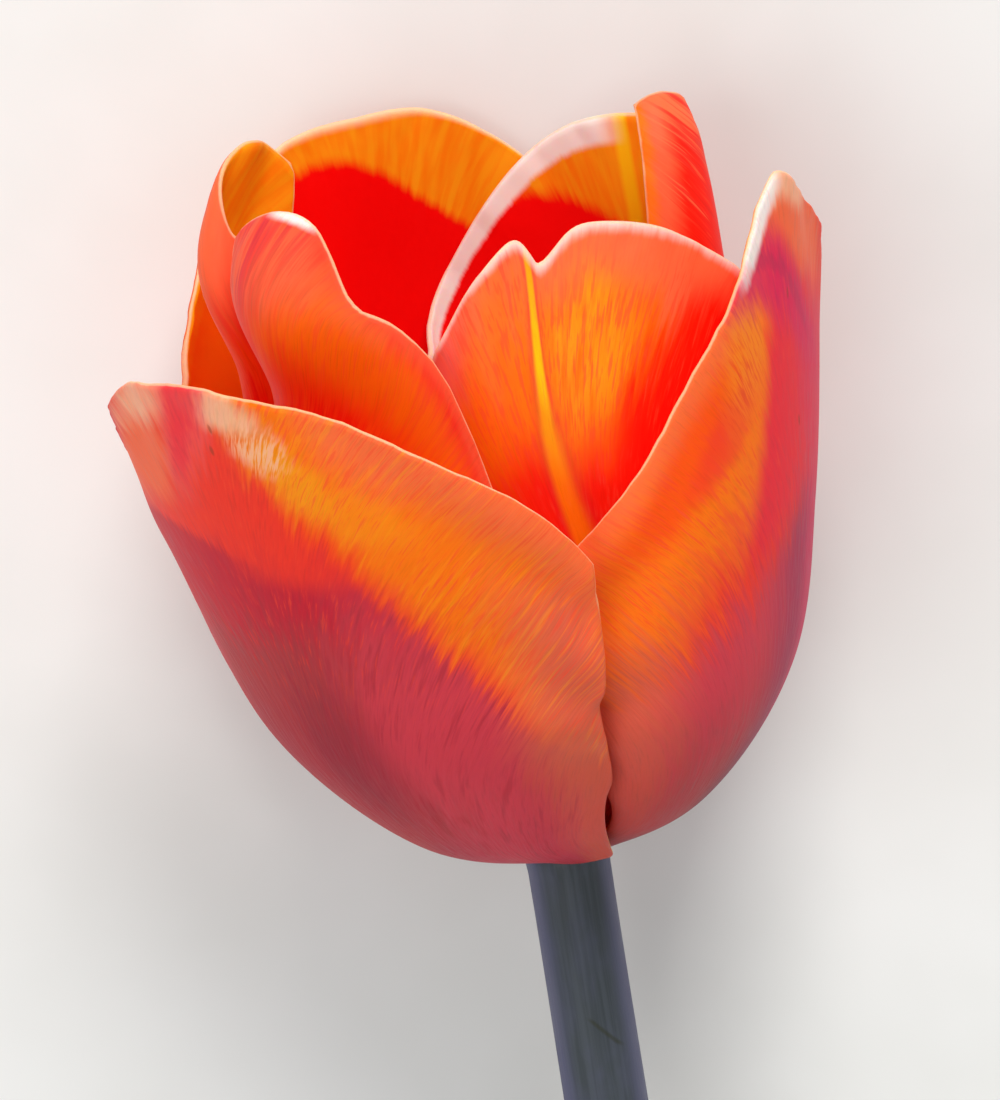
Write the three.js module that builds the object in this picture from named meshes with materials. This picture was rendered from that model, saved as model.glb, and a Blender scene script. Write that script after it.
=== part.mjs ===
// A single cut tulip with six overlapping tepals, lying on its back on a surface.
// Millimetres. The flower is modelled upright, its axis along +Z with the stem below,
// +X to the right and +Y away from the viewer, and is then laid down along +Y.
import * as THREE from "three";

// How the flower lies
const RISE = THREE.MathUtils.degToRad(6.5); // the axis climbs from the stem's cut end to the bloom
const LIFT = 21.6; // height of the flower's origin above the surface
const LAID_AT = new THREE.Vector3(1.2, 43.7, LIFT);

// Stem
const STEM_LENGTH = 157;
const STEM_TOP_RADIUS = 3.75;
const STEM_END_RADIUS = 4.05;
const STEM_SIDES = 24;

// Receptacle, the stem's own top that carries the bloom
const COLLAR_RADIUS = 3.9;
const NECK_RADIUS = 2.9;
const CUSHION_RADIUS = 4.2;
const CUSHION_TOP = 4.2;

// Tepals
const THICK_MIDDLE = 0.95;
const THICK_MARGIN = 0.62;
const ROWS = 20;
const COLUMNS = [-1, -0.92, -0.8, -0.64, -0.48, -0.32, -0.18, -0.08, 0, 0.08, 0.18, 0.32, 0.48, 0.64, 0.8, 0.92, 1];
const BEND_STEPS = 24;
const GROOVE_REACH = 0.35;
const PEAK_REACH = 1.1; // how far past its last station a tepal may run on
const WAVE_HEIGHT = 0.3;
const WAVES_ALONG = 4.5;
const WAVES_ACROSS = 2.2;

// Pistil and stamens, inside the bloom
const PISTIL_SIDES = 24;
const PISTIL_FOOT = CUSHION_TOP + 0.3;
const STAMENS = 6;
const ANTHER_LENGTH = 10.5;

const NONE = [0, 0, 0, 0, 0, 0];

// Each tepal is given at even steps from its base to its tip: where its midrib runs
// (distance from the flower's axis and height), how far it reaches to either side of the midrib,
// how many degrees each side bends inwards, how many more its margin curls, and how deep
// the groove along its midrib folds. The first of a pair is the left side, seen from outside.
// drop is how much shorter each side ends than the tip, and notch how deep the tip is notched
// at the midrib, both as a part of the tepal's length. A notch below 0 is a peak.
const TEPALS = {
  tepal_outer_left: {
    azimuth: 220,
    sweep: NONE,
    radius: [4.6, 14.8, 24.0, 28.7, 32.4, 35.6],
    height: [1.0, 5.5, 16, 29, 42, 55.5],
    width: [[5, 13, 20, 22, 21, 18], [11, 21.3, 27.5, 31.7, 34.4, 31]],
    bend: [[20, 50, 48, 45, 40, 30], [20, 54, 56, 58, 55, 45]],
    curl: [NONE, NONE],
    curlFrom: [0.55, 0.55],
    groove: [NONE, NONE],
    drop: [0.2, 0.35],
    power: [2.4, 3.0],
    notch: 0,
    notchWidth: 0.11,
    phase: 0.1,
  },
  tepal_outer_right: {
    azimuth: 338,
    sweep: [0, 0, 0, 0, -4, -8.5],
    radius: [4.6, 14.3, 22.5, 26.2, 28.4, 30.5],
    height: [1.0, 5.5, 16, 30, 45, 61.6],
    width: [[5.3, 16, 24.5, 28, 25.5, 24], [5, 15, 23, 24, 26.2, 20]],
    bend: [[20, 42, 52, 55, 54, 40], [20, 50, 50, 50, 45, 35]],
    curl: [[0, 25, 30, 25, 10, 0], NONE],
    curlFrom: [0.55, 0.55],
    groove: [NONE, NONE],
    drop: [0.355, 0.3],
    power: [1.37, 2.0],
    notch: -0.024,
    notchWidth: 0.17,
    phase: 0.55,
  },
  tepal_outer_back: {
    azimuth: 110,
    sweep: NONE,
    radius: [4.6, 13.5, 22, 26, 26.5, 25],
    height: [1.0, 5.5, 16, 30, 46, 63.7],
    width: [[5, 14, 22, 25, 26, 23], [5, 15, 23, 26, 27, 25]],
    bend: [[20, 48, 50, 55, 50, 40], [20, 50, 58, 58, 50, 40]],
    curl: [NONE, NONE],
    curlFrom: [0.55, 0.55],
    groove: [NONE, NONE],
    drop: [0.27, 0.2],
    power: [2.8, 2.8],
    notch: 0,
    notchWidth: 0.11,
    phase: 0.3,
  },
  tepal_inner_front: {
    azimuth: 287,
    sweep: [0, 0, 0, 0, -4, 1],
    radius: [3.8, 11, 18.0, 20.6, 19.9, 17.6],
    height: [2.0, 7.0, 16.5, 29, 44, 62],
    width: [[3, 9, 14.5, 15.5, 13.5, 10], [4, 12, 18, 21.5, 24, 22]],
    bend: [[20, 55, 75, 90, 75, 30], [20, 45, 50, 50, 40, 30]],
    curl: [NONE, NONE],
    curlFrom: [0.55, 0.55],
    groove: [[0, 0, 10, 20, 25, 25], [0, 0, 10, 20, 25, 25]],
    drop: [0.14, 0.12],
    power: [2.4, 2.4],
    notch: 0.03,
    notchWidth: 0.11,
    phase: 0.75,
  },
  tepal_inner_left: {
    azimuth: 195,
    sweep: NONE,
    radius: [3.8, 7.2, 11, 15.2, 18.8, 20.8, 21.2, 19.8, 19.0, 20.8, 15.6],
    height: [2.0, 7.0, 17, 31, 49.5, 70.2],
    width: [[4, 10, 16, 17, 17.4, 15.5], [2.5, 8, 18, 33.5, 35, 35]],
    bend: [[20, 45, 60, 85, 95, 95], [20, 45, 58, 80, 86, 85]],
    curl: [NONE, NONE],
    curlFrom: [0.55, 0.55],
    groove: [[0, 0, 10, 35, 85, 95], [0, 0, 10, 25, 35, 35]],
    drop: [0.03, 0.555],
    power: [2.0, 3.4],
    notch: 0.08,
    notchWidth: 0.3,
    phase: 0.4,
  },
  tepal_inner_right: {
    azimuth: 45,
    sweep: NONE,
    radius: [3.8, 11, 18.8, 23, 22.5, 21.5],
    height: [2.0, 7.0, 17, 31, 47, 69],
    width: [
      [4, 5.5, 7, 8.5, 10, 11.8, 13.5, 15.3, 17, 18.2, 19.2, 20.2, 21, 21.5, 22, 22.4, 22.4, 21.3, 19.6, 16.4, 8.5],
      [4, 10, 18, 23, 25, 24.5],
    ],
    bend: [[20, 45, 55, 62, 62, 26], [20, 45, 52, 55, 50, 45]],
    curl: [[0, 0, 0, 20, 72, 120], [0, 0, 0, 30, 80, 90]],
    curlFrom: [0.45, 0.8],
    groove: [NONE, NONE],
    drop: [0.02, 0.25],
    power: [5.0, 2.0],
    notch: 0.06,
    notchWidth: 0.75,
    phase: 0.9,
  },
};

// A smooth curve through evenly spaced values, with t from 0 to 1, or a little past 1 at a peak
function through(values, t) {
  const last = values.length - 1;
  const x = Math.min(Math.max(t, 0), PEAK_REACH) * last;
  const i = Math.min(Math.floor(x), last - 1);
  const f = x - i;
  const b = values[i];
  const c = values[i + 1];
  const a = i > 0 ? values[i - 1] : 2 * b - c;
  const d = i < last - 1 ? values[i + 2] : 2 * c - b;
  return b + 0.5 * f * (c - a + f * (2 * a - 5 * b + 4 * c - d + f * (3 * (b - c) + d - a)));
}

function smooth(from, to, x) {
  const s = Math.min(Math.max((x - from) / (to - from), 0), 1);
  return s * s * (3 - 2 * s);
}

// The waves that a tepal's margins carry, in millimetres off its face
function marginWave(tepal, u, v) {
  const reach = Math.abs(v);
  const side = v < 0 ? 0 : 0.37;
  const along = smooth(0.5, 1, reach) * smooth(0.2, 0.55, u)
    * Math.sin(2 * Math.PI * (WAVES_ALONG * u + tepal.phase + side));
  const across = smooth(0.82, 1, u) * (1 - smooth(0.7, 1, reach))
    * Math.sin(2 * Math.PI * (WAVES_ACROSS * v + tepal.phase));
  return WAVE_HEIGHT * (along + across);
}

// A point on a tepal's middle surface: u runs from base to tip, v from the left margin to the right
function tepalPoint(tepal, u, v) {
  const reach = Math.abs(v);
  const left = v < 0;
  const k = left ? 0 : 1;
  const side = left ? -1 : 1;
  const notch = tepal.notch * Math.exp(-((v / tepal.notchWidth) ** 2));
  const t = u * (1 - tepal.drop[k] * reach ** tepal.power[k] - notch);
  const width = through(tepal.width[k], t);
  const bend = THREE.MathUtils.degToRad(through(tepal.bend[k], t));
  const curl = THREE.MathUtils.degToRad(through(tepal.curl[k], t));
  const groove = THREE.MathUtils.degToRad(through(tepal.groove[k], t));
  const heading = (c) => bend * c + curl * smooth(tepal.curlFrom[k], 1, c) - groove * (1 - smooth(0, GROOVE_REACH, c));

  let across = 0;
  let inwards = 0;
  for (let step = 0; step < BEND_STEPS; step++) {
    const c = (reach * (step + 0.5)) / BEND_STEPS;
    across += (Math.cos(heading(c)) * reach * width) / BEND_STEPS;
    inwards += (Math.sin(heading(c)) * reach * width) / BEND_STEPS;
  }
  const wave = marginWave(tepal, u, v);
  across = side * (across - Math.sin(heading(reach)) * wave);
  inwards += Math.cos(heading(reach)) * wave;

  const dRadius = through(tepal.radius, t + 1e-3) - through(tepal.radius, t - 1e-3);
  const dHeight = through(tepal.height, t + 1e-3) - through(tepal.height, t - 1e-3);
  const slope = Math.hypot(dRadius, dHeight);
  const azimuth = THREE.MathUtils.degToRad(tepal.azimuth + through(tepal.sweep, t));
  const out = through(tepal.radius, t) - (inwards * dHeight) / slope;
  return new THREE.Vector3(
    Math.cos(azimuth) * out - Math.sin(azimuth) * across,
    Math.sin(azimuth) * out + Math.cos(azimuth) * across,
    through(tepal.height, t) + (inwards * dRadius) / slope,
  );
}

// How far a point of the upright flower reaches below the surface that it is to lie on
function belowSurface(point) {
  return point.y * Math.cos(RISE) - point.z * Math.sin(RISE) - LIFT;
}

// The outer and inner face points of a tepal at u, v, pressed flat where it rests on the surface
function tepalFaces(tepal, u, v) {
  const e = 2e-3;
  const middle = tepalPoint(tepal, u, v);
  const alongU = tepalPoint(tepal, Math.min(u + e, 1), v).sub(tepalPoint(tepal, Math.max(u - e, 0), v));
  const alongV = tepalPoint(tepal, u, Math.min(v + e, 1)).sub(tepalPoint(tepal, u, Math.max(v - e, -1)));
  const outwards = alongV.cross(alongU).normalize();
  const thick = THREE.MathUtils.lerp(THICK_MIDDLE, THICK_MARGIN, Math.max(smooth(0.5, 1, Math.abs(v)), smooth(0.7, 1, u)));
  const outer = middle.clone().addScaledVector(outwards, thick / 2);
  const inner = middle.clone().addScaledVector(outwards, -thick / 2);
  const pressed = Math.max(belowSurface(outer), 0);
  for (const face of [outer, inner]) {
    face.y -= pressed * Math.cos(RISE);
    face.z += pressed * Math.sin(RISE);
  }
  return [outer, inner];
}

// A closed blade: two faces split into triangles alike, and a rim round them
function tepalGeometry(tepal) {
  const across = COLUMNS.length;
  const points = [];
  for (let face = 0; face < 2; face++) {
    for (let row = 0; row <= ROWS; row++) {
      for (const v of COLUMNS) {
        points.push(tepalFaces(tepal, row / ROWS, v)[face]);
      }
    }
  }
  const at = (face, row, column) => (face * (ROWS + 1) + row) * across + column;
  const index = [];
  for (let row = 0; row < ROWS; row++) {
    for (let column = 0; column < across - 1; column++) {
      for (const face of [0, 1]) {
        const a = at(face, row, column);
        const b = at(face, row, column + 1);
        const c = at(face, row + 1, column + 1);
        const d = at(face, row + 1, column);
        index.push(...(face === 0 ? [a, b, c, a, c, d] : [a, c, b, a, d, c]));
      }
    }
  }
  const edge = [];
  for (let column = 0; column < across - 1; column++) edge.push([0, column]);
  for (let row = 0; row < ROWS; row++) edge.push([row, across - 1]);
  for (let column = across - 1; column > 0; column--) edge.push([ROWS, column]);
  for (let row = ROWS; row > 0; row--) edge.push([row, 0]);
  edge.forEach(([row, column], i) => {
    const [nextRow, nextColumn] = edge[(i + 1) % edge.length];
    const a = at(0, row, column);
    const b = at(0, nextRow, nextColumn);
    const c = at(1, nextRow, nextColumn);
    const d = at(1, row, column);
    index.push(a, c, b, a, d, c);
  });
  const geometry = new THREE.BufferGeometry().setFromPoints(points);
  geometry.setIndex(index);
  geometry.computeVertexNormals();
  return geometry;
}

// The stem and the receptacle are one grown piece, turned about the flower's axis
function stemGeometry() {
  const profile = [
    [0, -STEM_LENGTH],
    [STEM_END_RADIUS - 0.2, -STEM_LENGTH],
    [STEM_END_RADIUS, -STEM_LENGTH + 0.3],
    [4.0, -120],
    [3.95, -80],
    [3.85, -40],
    [STEM_TOP_RADIUS, -8],
    [STEM_TOP_RADIUS, -2],
    [COLLAR_RADIUS, -0.4],
    [COLLAR_RADIUS - 0.1, 0.3],
    [NECK_RADIUS, 1.2],
    [NECK_RADIUS, 2.8],
    [CUSHION_RADIUS, 3.5],
    [CUSHION_RADIUS - 0.1, 3.9],
    [CUSHION_RADIUS - 0.6, CUSHION_TOP],
    [0, CUSHION_TOP],
  ].map(([r, z]) => new THREE.Vector2(r, z));
  const geometry = new THREE.LatheGeometry(profile, STEM_SIDES);
  geometry.rotateX(Math.PI / 2);
  geometry.rotateZ(Math.PI / STEM_SIDES);
  return geometry;
}

// A turned shape whose outline across the axis has lobes
function lobedLathe(profile, sides, lobes, depth) {
  const geometry = new THREE.LatheGeometry(profile.map(([r, z]) => new THREE.Vector2(r, z)), sides);
  geometry.rotateX(Math.PI / 2);
  const position = geometry.attributes.position;
  for (let i = 0; i < position.count; i++) {
    const x = position.getX(i);
    const y = position.getY(i);
    const swell = 1 + depth(position.getZ(i)) * Math.cos(lobes * Math.atan2(y, x));
    position.setXY(i, x * swell, y * swell);
  }
  geometry.computeVertexNormals();
  return geometry;
}

// The three-sided ovary and the three-lobed stigma on it
function pistilGeometry() {
  const profile = [
    [0, 0], [2.1, 0], [2.35, 1.5], [2.9, 5], [3.1, 9], [3.0, 13],
    [2.6, 16.5], [2.2, 18], [2.6, 18.8], [3.3, 19.8], [3.5, 20.8], [2.9, 21.7], [1.5, 22.1], [0, 22],
  ];
  return lobedLathe(profile, PISTIL_SIDES, 3, (z) => (z > 18.4 ? 0.34 : 0.08));
}

function antherGeometry() {
  const profile = [];
  const steps = 9;
  for (let i = 0; i <= steps; i++) {
    const along = i / steps;
    const radius = i === 0 || i === steps ? 0 : 1.15 * Math.sin(Math.PI * along) ** 0.45;
    profile.push([radius, ANTHER_LENGTH * along]);
  }
  return lobedLathe(profile, 12, 2, () => 0.22);
}

// A filament leans out from beside the ovary and tapers to a point below its anther
function filamentGeometry() {
  const spine = new THREE.CatmullRomCurve3([
    new THREE.Vector3(3.45, 0, CUSHION_TOP + 0.3),
    new THREE.Vector3(4.7, 0, CUSHION_TOP + 4),
    new THREE.Vector3(5.9, 0, CUSHION_TOP + 10.5),
  ]);
  const section = new THREE.Shape().absarc(0, 0, 0.5, 0, 2 * Math.PI);
  return new THREE.ExtrudeGeometry(section, { steps: 6, curveSegments: 5, extrudePath: spine, bevelEnabled: false });
}

function piece(name, geometry, colour, roughness) {
  const material = new THREE.MeshStandardMaterial({ color: colour, roughness, metalness: 0, side: THREE.DoubleSide });
  const mesh = new THREE.Mesh(geometry, material);
  mesh.name = name;
  return mesh;
}

const flower = new THREE.Group();
flower.add(piece("stem", stemGeometry(), 0x4f545c, 0.55));
for (const [name, tepal] of Object.entries(TEPALS)) {
  flower.add(piece(name, tepalGeometry(tepal), name.includes("outer") ? 0xd8452c : 0xf0561e, 0.5));
}
const pistil = piece("pistil", pistilGeometry(), 0xc9c26a, 0.6);
pistil.position.z = PISTIL_FOOT;
flower.add(pistil);
for (let i = 1; i <= STAMENS; i++) {
  const turned = new THREE.Group();
  turned.rotation.z = ((i - 0.5) / STAMENS) * 2 * Math.PI;
  turned.add(piece(`filament_${i}`, filamentGeometry(), 0x3a2a3c, 0.6));
  const anther = piece(`anther_${i}`, antherGeometry(), 0x2c1c30, 0.8);
  anther.position.set(5.95, 0, CUSHION_TOP + 10.8);
  anther.rotation.y = 0.06;
  turned.add(anther);
  flower.add(turned);
}
flower.rotation.x = RISE - Math.PI / 2;
flower.position.copy(LAID_AT);

const group = new THREE.Group();
group.add(flower);
export default group;
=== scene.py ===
import math
import bpy
import numpy as np
from mathutils import Matrix, Vector


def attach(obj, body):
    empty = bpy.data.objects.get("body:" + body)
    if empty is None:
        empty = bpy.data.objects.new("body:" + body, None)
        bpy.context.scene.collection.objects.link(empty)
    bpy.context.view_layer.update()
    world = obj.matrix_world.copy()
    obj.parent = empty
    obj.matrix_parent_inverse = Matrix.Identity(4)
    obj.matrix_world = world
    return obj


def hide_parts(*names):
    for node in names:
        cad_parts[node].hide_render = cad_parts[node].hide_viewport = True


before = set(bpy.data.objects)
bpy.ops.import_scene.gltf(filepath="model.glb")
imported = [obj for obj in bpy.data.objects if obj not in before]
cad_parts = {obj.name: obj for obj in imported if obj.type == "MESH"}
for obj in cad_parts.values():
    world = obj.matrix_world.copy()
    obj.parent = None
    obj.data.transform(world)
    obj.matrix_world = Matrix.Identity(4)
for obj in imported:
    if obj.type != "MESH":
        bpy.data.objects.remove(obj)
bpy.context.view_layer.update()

# The flower is built upright in millimetres, its axis along +Z with the stem below, +X to the right
# and +Y away from the viewer, and is then laid down along +Y, in metres.
MM = 0.001
RISE = math.radians(6.5)  # the axis climbs from the stem's cut end to the bloom
LIFT = 21.6  # height of the flower's origin above the surface
LAID_AT = np.array([1.2, 43.7, LIFT])

# Stem and receptacle
STEM_LENGTH = 157
STEM_TOP_RADIUS = 3.75
STEM_END_RADIUS = 4.05
COLLAR_RADIUS = 3.9
NECK_RADIUS = 2.9
CUSHION_RADIUS = 4.2
CUSHION_TOP = 4.2
STEM_SIDES = 72
STEM_ROWS = 160
RIBS = 7
RIB_DEPTH = 0.03
RIB_TWIST = 0.02  # radians to the millimetre
SWELL_DEPTH = 0.03
SWELL_RATE = 0.11  # radians to the millimetre
GREEN_FROM = -60  # the stem starts to turn green at this height
GREEN_TO = -150
SCRATCH_HEIGHT = -17
SCRATCH_ASIDE = 0.9

# Tepals
THICK_MIDDLE = 0.95
THICK_MARGIN = 0.62
GROOVE_REACH = 0.35  # the groove folds over this part of the half width
PEAK_REACH = 1.1  # how far past its last station a tepal may run on
BEND_STEPS = 24  # steps in which a side is bent
WAVE_HEIGHT = 0.3
WAVES_ALONG = 4.5
WAVES_ACROSS = 2.2
FRILLS = ((5.3, 0.1), (3.1, 0.05), (1.7, 0.025))  # lengths and heights of the finest waves
CREASE_REACH = 0.06  # the groove's bottom is rounded over this part of the half width
TEPAL_LENGTH = 70  # about, along the midrib
SLOPE_STEP = 1e-3  # the midrib's slope is taken over this much of its length to either side
NORMAL_STEP = 2e-3  # and the face's over this much of u and v
CORNER_FROM = 0.92  # u from which the tip's corners round off
FAN_FROM = 20  # how far below its base a tepal's veins would meet, if they ran straight
FAN_SPREAD = 0.7  # smaller lets the veins turn out more towards the tip
VEIN_COUNT = 92  # numbers the veins at about one a millimetre halfway up
FINE_ROWS = 130
FINE_COLUMNS = 110
ROWS_CROWD = 0.25  # how much closer the rows lie towards the tip
COLUMNS_CROWD = 0.35  # how much closer the columns lie towards the margins
EDGE_REACH = 0.7  # the thin round edge is this wide
EDGE_SHARE = 0.25  # the part of the thickness that is left at the very edge

# Light strays inside a tepal: the share that does, how far red, green and blue get, and the scale of that
FLESH_SHARE = 0.35
FLESH_RADIUS = (1.0, 0.25, 0.08)
FLESH_SCALE = 0.0014  # in metres
RIDGE_HEIGHT = 0.0002  # of the veins' relief, in metres

# Pistil and stamens
PISTIL_FOOT = CUSHION_TOP + 0.3
PISTIL_SIDES = 72
PISTIL_ROWS = 70
PISTIL_LOBES = 3
STAMENS = 6
FILAMENT_RADIUS = 0.5
FILAMENT_TAPER = 0.15
FILAMENT_SIDES = 16
FILAMENT_ROWS = 24
ANTHER_LENGTH = 10.5
ANTHER_RADIUS = 1.15
ANTHER_OUT = 5.95  # distance of its foot from the flower's axis
ANTHER_FOOT = CUSHION_TOP + 10.8
ANTHER_TILT = 0.06  # radians outwards
ANTHER_SIDES = 32
ANTHER_ROWS = 40

NONE = [0, 0, 0, 0, 0, 0]

# Each tepal is given at even steps from its base to its tip: how many degrees its midrib strays from
# the azimuth (sweep), where it runs (distance from the flower's axis and height), how far the tepal
# reaches to either side of it, how many degrees each side bends inwards, how many more its margin
# curls, and how many degrees the groove along the midrib folds. The first of a pair is the left side,
# seen from outside. curl_from is how far across each side its curl begins. drop is how much shorter
# each side ends than the tip, and notch how deep the tip is notched at the midrib, both as a part of
# the tepal's length. A notch below 0 is a peak. A larger power keeps the drop closer to the margin.
# phase shifts the waves. corner is how much of each side's width the tip's corner rounds off.
TEPALS = {
    "tepal_outer_left": {
        "azimuth": 220,
        "sweep": NONE,
        "radius": [4.6, 14.8, 24.0, 28.7, 32.4, 35.6],
        "height": [1.0, 5.5, 16, 29, 42, 55.5],
        "width": [[5, 13, 20, 22, 21, 18], [11, 21.3, 27.5, 31.7, 34.4, 31]],
        "bend": [[20, 50, 48, 45, 40, 30], [20, 54, 56, 58, 55, 45]],
        "curl": [NONE, NONE],
        "curl_from": [0.55, 0.55],
        "groove": [NONE, NONE],
        "drop": [0.2, 0.35],
        "power": [2.4, 3.0],
        "notch": 0,
        "notch_width": 0.11,
        "phase": 0.1,
        "corner": [0.16, 0],
    },
    "tepal_outer_right": {
        "azimuth": 338,
        "sweep": [0, 0, 0, 0, -4, -8.5],
        "radius": [4.6, 14.3, 22.5, 26.2, 28.4, 30.5],
        "height": [1.0, 5.5, 16, 30, 45, 61.6],
        "width": [[5.3, 16, 24.5, 28, 25.5, 24], [5, 15, 23, 24, 26.2, 20]],
        "bend": [[20, 42, 52, 55, 54, 40], [20, 50, 50, 50, 45, 35]],
        "curl": [[0, 25, 30, 25, 10, 0], NONE],
        "curl_from": [0.55, 0.55],
        "groove": [NONE, NONE],
        "drop": [0.355, 0.3],
        "power": [1.37, 2.0],
        "notch": -0.024,
        "notch_width": 0.17,
        "phase": 0.55,
        "corner": [0, 0.1],
    },
    "tepal_outer_back": {
        "azimuth": 110,
        "sweep": NONE,
        "radius": [4.6, 13.5, 22, 26, 26.5, 25],
        "height": [1.0, 5.5, 16, 30, 46, 63.7],
        "width": [[5, 14, 22, 25, 26, 23], [5, 15, 23, 26, 27, 25]],
        "bend": [[20, 48, 50, 55, 50, 40], [20, 50, 58, 58, 50, 40]],
        "curl": [NONE, NONE],
        "curl_from": [0.55, 0.55],
        "groove": [NONE, NONE],
        "drop": [0.27, 0.2],
        "power": [2.8, 2.8],
        "notch": 0,
        "notch_width": 0.11,
        "phase": 0.3,
        "corner": [0.1, 0.1],
    },
    "tepal_inner_front": {
        "azimuth": 287,
        "sweep": [0, 0, 0, 0, -4, 1],
        "radius": [3.8, 11, 18.0, 20.6, 19.9, 17.6],
        "height": [2.0, 7.0, 16.5, 29, 44, 62],
        "width": [[3, 9, 14.5, 15.5, 13.5, 10], [4, 12, 18, 21.5, 24, 22]],
        "bend": [[20, 55, 75, 90, 75, 30], [20, 45, 50, 50, 40, 30]],
        "curl": [NONE, NONE],
        "curl_from": [0.55, 0.55],
        "groove": [[0, 0, 10, 20, 25, 25], [0, 0, 10, 20, 25, 25]],
        "drop": [0.14, 0.12],
        "power": [2.4, 2.4],
        "notch": 0.03,
        "notch_width": 0.11,
        "phase": 0.75,
        "corner": [0, 0],
    },
    "tepal_inner_left": {
        "azimuth": 195,
        "sweep": NONE,
        "radius": [3.8, 7.2, 11, 15.2, 18.8, 20.8, 21.2, 19.8, 19.0, 20.8, 15.6],
        "height": [2.0, 7.0, 17, 31, 49.5, 70.2],
        "width": [[4, 10, 16, 17, 17.4, 15.5], [2.5, 8, 18, 33.5, 35, 35]],
        "bend": [[20, 45, 60, 85, 95, 95], [20, 45, 58, 80, 86, 85]],
        "curl": [NONE, NONE],
        "curl_from": [0.55, 0.55],
        "groove": [[0, 0, 10, 35, 85, 95], [0, 0, 10, 25, 35, 35]],
        "drop": [0.03, 0.555],
        "power": [2.0, 3.4],
        "notch": 0.08,
        "notch_width": 0.3,
        "phase": 0.4,
        "corner": [0.14, 0],
    },
    "tepal_inner_right": {
        "azimuth": 45,
        "sweep": NONE,
        "radius": [3.8, 11, 18.8, 23, 22.5, 21.5],
        "height": [2.0, 7.0, 17, 31, 47, 69],
        "width": [
            [
                4, 5.5, 7, 8.5, 10, 11.8, 13.5, 15.3, 17, 18.2, 19.2,
                20.2, 21, 21.5, 22, 22.4, 22.4, 21.3, 19.6, 16.4, 8.5,
            ],
            [4, 10, 18, 23, 25, 24.5],
        ],
        "bend": [[20, 45, 55, 62, 62, 26], [20, 45, 52, 55, 50, 45]],
        "curl": [[0, 0, 0, 20, 72, 120], [0, 0, 0, 30, 80, 90]],
        "curl_from": [0.45, 0.8],
        "groove": [NONE, NONE],
        "drop": [0.02, 0.25],
        "power": [5.0, 2.0],
        "notch": 0.06,
        "notch_width": 0.75,
        "phase": 0.9,
        "corner": [0, 0],
    },
}

# Camera: the flower's origin shows at this pixel of the 1000 by 1100 frame, at this scale
ORIGIN_PIXEL = (566, 846)
FRAME_PIXELS = (1000, 1100)
MM_PER_PIXEL = 0.09
CAMERA_DISTANCE = 620
LOOKS_DOWN = math.radians(21)  # above the plane square to the flower's axis
LEAN = math.radians(9)  # the axis leans left in the frame
SENSOR = 36

# Floor, in metres. It lies a hair below the flat that the flower rests on, so that the two don't
# share a plane.
FLOOR_REACH = 3.0
FLOOR_DROP = 0.0003

# Light, in metres and watts: each lamp's place round the target, its size, power and colour
LIGHT_TARGET = (0, 0.08, 0.03)
LAMPS = (
    ("key", (0.25, 1.0, 0.8), 0.5, 12, (1, 0.99, 0.97)),
    ("fill", (-0.5, -0.1, 1.0), 0.8, 4.5, (0.98, 0.99, 1)),
)
SKY_COLOUR = (0.97, 0.985, 1, 1)
SKY_STRENGTH = 0.5


def laid(points):
    """Points of the upright flower, in millimetres, laid down in the row frame, in metres."""
    x, y, z = points[..., 0], points[..., 1], points[..., 2]
    along = y * math.sin(RISE) + z * math.cos(RISE)
    up = -y * math.cos(RISE) + z * math.sin(RISE)
    return (np.stack([x, along, up], -1) + LAID_AT) * MM


def laid_direction(x, y, z):
    return Vector((x, y * math.sin(RISE) + z * math.cos(RISE), -y * math.cos(RISE) + z * math.sin(RISE)))


def make_camera():
    camera = bpy.data.objects.new("camera", bpy.data.cameras.new("camera"))
    bpy.context.scene.collection.objects.link(camera)
    bpy.context.scene.camera = camera
    back = laid_direction(0, -math.cos(LOOKS_DOWN), math.sin(LOOKS_DOWN))
    level_right = laid_direction(1, 0, 0)
    level_up = laid_direction(0, math.sin(LOOKS_DOWN), math.cos(LOOKS_DOWN))
    right = math.cos(LEAN) * level_right - math.sin(LEAN) * level_up
    up = math.sin(LEAN) * level_right + math.cos(LEAN) * level_up
    origin = Vector(laid(np.zeros(3)))
    place = origin + back * CAMERA_DISTANCE * MM
    aside = (FRAME_PIXELS[0] / 2 - ORIGIN_PIXEL[0]) * MM_PER_PIXEL * MM
    above = (ORIGIN_PIXEL[1] - FRAME_PIXELS[1] / 2) * MM_PER_PIXEL * MM
    ahead = (origin + right * aside + up * above - place).normalized()
    right = ahead.cross(up).normalized()
    up = right.cross(ahead)
    turn = Matrix((right, up, -ahead)).transposed()
    camera.matrix_world = Matrix.Translation(place) @ turn.to_4x4()
    camera.data.sensor_width = SENSOR
    camera.data.lens = SENSOR * CAMERA_DISTANCE / (MM_PER_PIXEL * max(FRAME_PIXELS))
    camera.data.clip_start = 0.05
    camera.data.clip_end = 20


def through(values, t):
    """A smooth curve through evenly spaced values, with t from 0 to 1, or a little past 1 at a peak."""
    values = np.asarray(values, float)
    last = len(values) - 1
    x = np.clip(t, 0, PEAK_REACH) * last
    i = np.minimum(x.astype(int), last - 1)
    f = x - i
    b, c = values[i], values[i + 1]
    a = np.where(i > 0, values[np.maximum(i - 1, 0)], 2 * b - c)
    d = np.where(i < last - 1, values[np.minimum(i + 2, last)], 2 * c - b)
    return b + 0.5 * f * (c - a + f * (2 * a - 5 * b + 4 * c - d + f * (3 * (b - c) + d - a)))


def smooth(low, high, x):
    s = np.clip((x - low) / (high - low), 0, 1)
    return s * s * (3 - 2 * s)


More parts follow.
